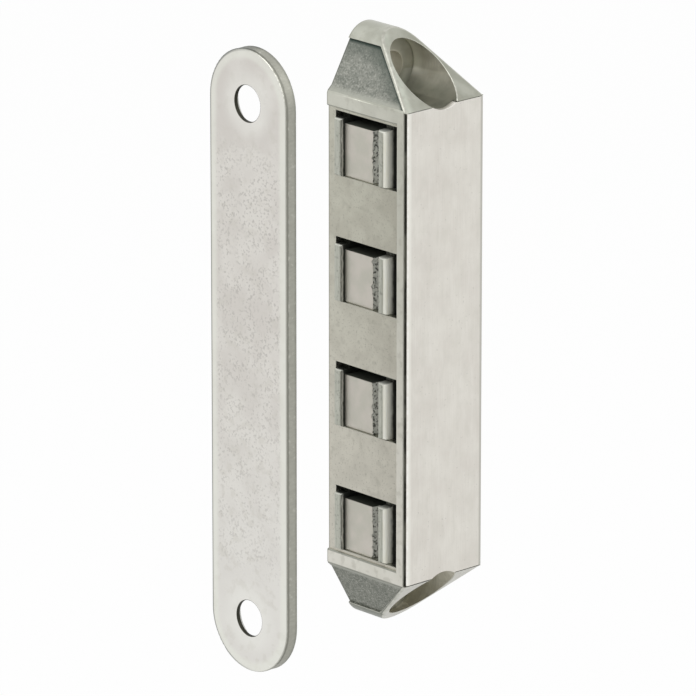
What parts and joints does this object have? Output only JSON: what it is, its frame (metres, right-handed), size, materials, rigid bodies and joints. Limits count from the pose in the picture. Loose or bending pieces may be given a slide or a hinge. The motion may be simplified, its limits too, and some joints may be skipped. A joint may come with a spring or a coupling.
{
  "type": "magnetic catch",
  "caption": "Magnetic catch for a heavy door: cast housing with wedge ends, counterbored screw holes and floating magnets behind windows, and a flat steel counterplate with round ends.",
  "frame": {"origin": "middle of the housing's mounting face, at X = 0: half its length and half its depth", "axes": "+Z along the length, -Y out of the windowed front towards the counterplate, +X out of the covered side, away from the mounting face"},
  "size_m": [0.0173, 0.0398, 0.0965],
  "materials": {
    "housing": "satin nickel plating on a zinc casting",
    "cover": "satin",
    "magnets": "satin nickel plating",
    "poles": "satin nickel plating",
    "counterplate": "matte nickel plating, lightly speckled"
  },
  "bodies": {
    "housing": {"housing": "housing", "side_cover": "cover"},
    "counterplate": {"counterplate": "counterplate"},
    "unit_1": {"pole_inner_1": "poles", "magnet_1": "magnets", "pole_outer_1": "poles"},
    "unit_2": {"pole_inner_2": "poles", "magnet_2": "magnets", "pole_outer_2": "poles"},
    "unit_3": {"pole_inner_3": "poles", "magnet_3": "magnets", "pole_outer_3": "poles"},
    "unit_4": {"pole_inner_4": "poles", "magnet_4": "magnets", "pole_outer_4": "poles"}
  },
  "joints": [
    {"name": "counterplate_slide", "type": "slide", "parent": "housing", "child": "counterplate", "axis": [0, -0.9977, 0.0673], "range_m": [-0.02155, 0.03]},
    {"name": "unit_1_float", "type": "slide", "parent": "housing", "child": "unit_1", "axis": [0, 0, 1], "range_m": [0, 0.001]},
    {"name": "unit_2_float", "type": "slide", "parent": "housing", "child": "unit_2", "axis": [0, 0, 1], "range_m": [0, 0.001]},
    {"name": "unit_3_float", "type": "slide", "parent": "housing", "child": "unit_3", "axis": [0, 0, 1], "range_m": [0, 0.001]},
    {"name": "unit_4_float", "type": "slide", "parent": "housing", "child": "unit_4", "axis": [0, 0, 1], "range_m": [0, 0.001]}
  ]
}
